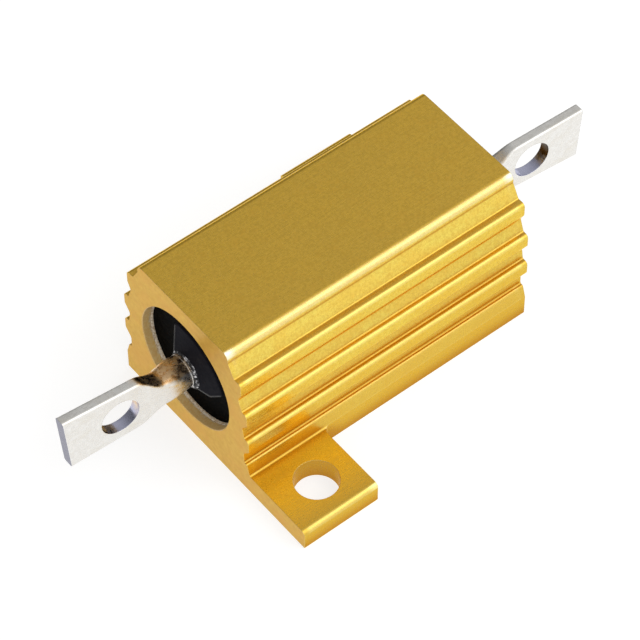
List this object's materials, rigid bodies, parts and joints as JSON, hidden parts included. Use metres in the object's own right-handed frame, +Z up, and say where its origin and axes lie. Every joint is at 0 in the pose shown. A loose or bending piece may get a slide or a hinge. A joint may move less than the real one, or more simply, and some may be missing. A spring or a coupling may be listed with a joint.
{
  "type": "aluminium housed power resistor",
  "caption": "Chassis-mounted wirewound power resistor in a finned gold-anodised aluminium housing with diagonal mounting lugs and flattened solder-eye terminals.",
  "frame": {"origin": "centre of the mounting face, under the middle of the resistor axis", "axes": "+Y along the resistor axis from the front terminal to the rear terminal, +Z up from the mounting face, +X across, towards the front lug"},
  "size_m": [0.0206, 0.036, 0.0105],
  "materials": {
    "gold_anodised_aluminium": "satin gold anodised, extrusion grain along the length",
    "black_moulding": "black moulded compound, half gloss",
    "white_ceramic": "unglazed",
    "resistance_wire": "drawn wire",
    "plated_steel": "plated",
    "tinned_terminal": "hot tinned, slightly dull"
  },
  "bodies": {
    "root": {"housing": "gold_anodised_aluminium", "moulded_filler": "black_moulding", "ceramic_core": "white_ceramic", "resistance_winding": "resistance_wire", "front_end_cap": "plated_steel", "rear_end_cap": "plated_steel", "front_terminal": "tinned_terminal", "rear_terminal": "tinned_terminal"}
  },
  "joints": []
}
